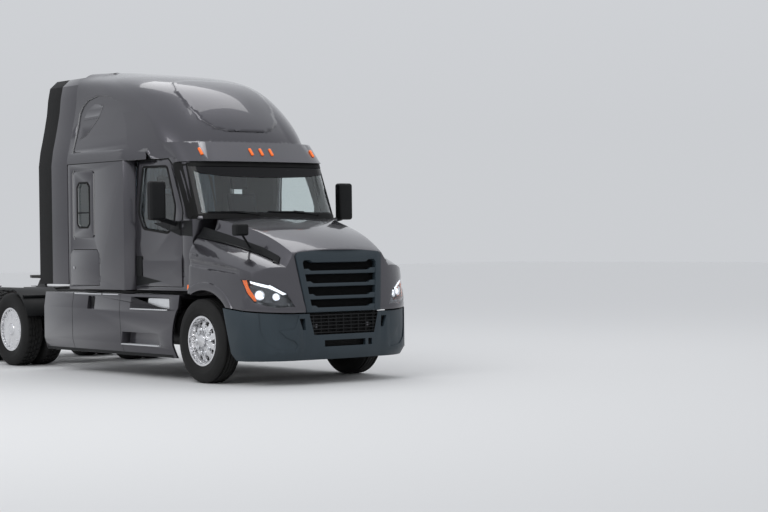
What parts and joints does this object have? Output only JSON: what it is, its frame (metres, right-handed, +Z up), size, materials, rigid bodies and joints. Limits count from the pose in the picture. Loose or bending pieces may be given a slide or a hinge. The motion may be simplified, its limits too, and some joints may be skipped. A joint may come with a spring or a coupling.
{
  "type": "highway tractor unit with raised-roof sleeper cab",
  "caption": "Long-bonnet highway tractor with a raised-roof sleeper, tilting bonnet, opening doors, steered front axle, tandem drive axles and a rocking fifth wheel.",
  "frame": {"origin": "on the road, under the middle of the vehicle's box", "axes": "+X forward, +Y to the driver's left, +Z up"},
  "size_m": [8.3, 3.05, 3.9154],
  "materials": {
    "body_paint": "dark warm grey metallic, gloss clear coat",
    "slate_plastic": "moulded satin slate plastic",
    "black_plastic": "textured black plastic",
    "frame_black": "satin black chassis paint",
    "alloy": "polished alloy",
    "tread_alloy": "brushed tread plate",
    "cast": "as-cast, painted dark",
    "tyre": "black rubber",
    "glass": "lightly tinted",
    "lamp_clear": "clear lens",
    "lamp_amber": "amber and red lenses",
    "cabin_plastic": "grained cabin trim",
    "seat_fabric": "woven grey cloth"
  },
  "bodies": {
    "chassis": {"bumper": "slate_plastic", "bunk": "seat_fabric", "cab_shell": "body_paint", "dashboard": "cabin_plastic", "driveline": "cast", "engine": "cast", "fifth_wheel_mount": "frame_black", "fixed_glass": "glass", "fixed_lamps": "lamp_amber", "frame_rails": "frame_black", "front_axle": "cast", "rear_fenders": "black_plastic", "roof_cap": "body_paint", "seats": "seat_fabric", "side_extenders": "body_paint", "side_fairings": "body_paint", "sleeper_shell": "body_paint", "suspension": "frame_black", "tanks": "tread_alloy", "treads_and_deck": "tread_alloy"},
    "knuckle_left": {"knuckle_left": "cast"},
    "front_wheel_left": {"front_tyre_left": "tyre", "front_rim_left": "alloy"},
    "drive_wheels_one_left": {"drive_tyres_one_left": "tyre", "drive_rims_one_left": "alloy"},
    "drive_wheels_two_left": {"drive_tyres_two_left": "tyre", "drive_rims_two_left": "alloy"},
    "cab_door_left": {"door_left": "body_paint", "door_glass_left": "glass", "mirror_left": "black_plastic"},
    "luggage_door_left": {"luggage_door_left": "body_paint"},
    "knuckle_right": {"knuckle_right": "cast"},
    "front_wheel_right": {"front_tyre_right": "tyre", "front_rim_right": "alloy"},
    "drive_wheels_one_right": {"drive_tyres_one_right": "tyre", "drive_rims_one_right": "alloy"},
    "drive_wheels_two_right": {"drive_tyres_two_right": "tyre", "drive_rims_two_right": "alloy"},
    "cab_door_right": {"door_right": "body_paint", "door_glass_right": "glass", "mirror_right": "black_plastic"},
    "luggage_door_right": {"luggage_door_right": "body_paint"},
    "bonnet": {"hood": "body_paint", "grille": "slate_plastic", "headlamps": "lamp_clear", "hood_mirrors": "black_plastic"},
    "fifth_wheel": {"fifth_wheel_plate": "cast"}
  },
  "joints": [
    {"name": "steer_left", "type": "hinge", "parent": "chassis", "child": "knuckle_left", "pos_m": [2.88, 0.895, 0.5], "axis": [0, 0, 1], "range_deg": [-38, 38]},
    {"name": "front_wheel_left_spin", "type": "hinge", "parent": "knuckle_left", "child": "front_wheel_left", "pos_m": [2.88, 1.06, 0.5], "axis": [0, 1, 0], "continuous": true},
    {"name": "drive_wheels_one_left_spin", "type": "hinge", "parent": "chassis", "child": "drive_wheels_one_left", "pos_m": [-1.9, 1.072, 0.5], "axis": [0, 1, 0], "continuous": true},
    {"name": "drive_wheels_two_left_spin", "type": "hinge", "parent": "chassis", "child": "drive_wheels_two_left", "pos_m": [-3.22, 1.072, 0.5], "axis": [0, 1, 0], "continuous": true},
    {"name": "cab_door_left_hinge", "type": "hinge", "parent": "chassis", "child": "cab_door_left", "pos_m": [2.378, 1.079, 1.585], "axis": [0, 0, -1], "range_deg": [0, 70]},
    {"name": "luggage_door_left_hinge", "type": "hinge", "parent": "chassis", "child": "luggage_door_left", "pos_m": [0.608, 1.212, 1.335], "axis": [0, 0, -1], "range_deg": [0, 90]},
    {"name": "steer_right", "type": "hinge", "parent": "chassis", "child": "knuckle_right", "pos_m": [2.88, -0.895, 0.5], "axis": [0, 0, 1], "range_deg": [-38, 38]},
    {"name": "front_wheel_right_spin", "type": "hinge", "parent": "knuckle_right", "child": "front_wheel_right", "pos_m": [2.88, -1.06, 0.5], "axis": [0, 1, 0], "continuous": true},
    {"name": "drive_wheels_one_right_spin", "type": "hinge", "parent": "chassis", "child": "drive_wheels_one_right", "pos_m": [-1.9, -1.072, 0.5], "axis": [0, 1, 0], "continuous": true},
    {"name": "drive_wheels_two_right_spin", "type": "hinge", "parent": "chassis", "child": "drive_wheels_two_right", "pos_m": [-3.22, -1.072, 0.5], "axis": [0, 1, 0], "continuous": true},
    {"name": "cab_door_right_hinge", "type": "hinge", "parent": "chassis", "child": "cab_door_right", "pos_m": [2.378, -1.079, 1.585], "axis": [0, 0, 1], "range_deg": [0, 70]},
    {"name": "luggage_door_right_hinge", "type": "hinge", "parent": "chassis", "child": "luggage_door_right", "pos_m": [0.608, -1.212, 1.335], "axis": [0, 0, 1], "range_deg": [0, 90]},
    {"name": "bonnet_tilt", "type": "hinge", "parent": "chassis", "child": "bonnet", "pos_m": [4.06, 0, 0.68], "axis": [0, 1, 0], "range_deg": [0, 80]},
    {"name": "fifth_wheel_rock", "type": "hinge", "parent": "chassis", "child": "fifth_wheel", "pos_m": [-2.42, 0, 1.13], "axis": [0, 1, 0], "range_deg": [-12, 12]}
  ],
  "couplings": [
    {"joint": "steer_right", "follows": "steer_left", "ratio": 1}
  ]
}
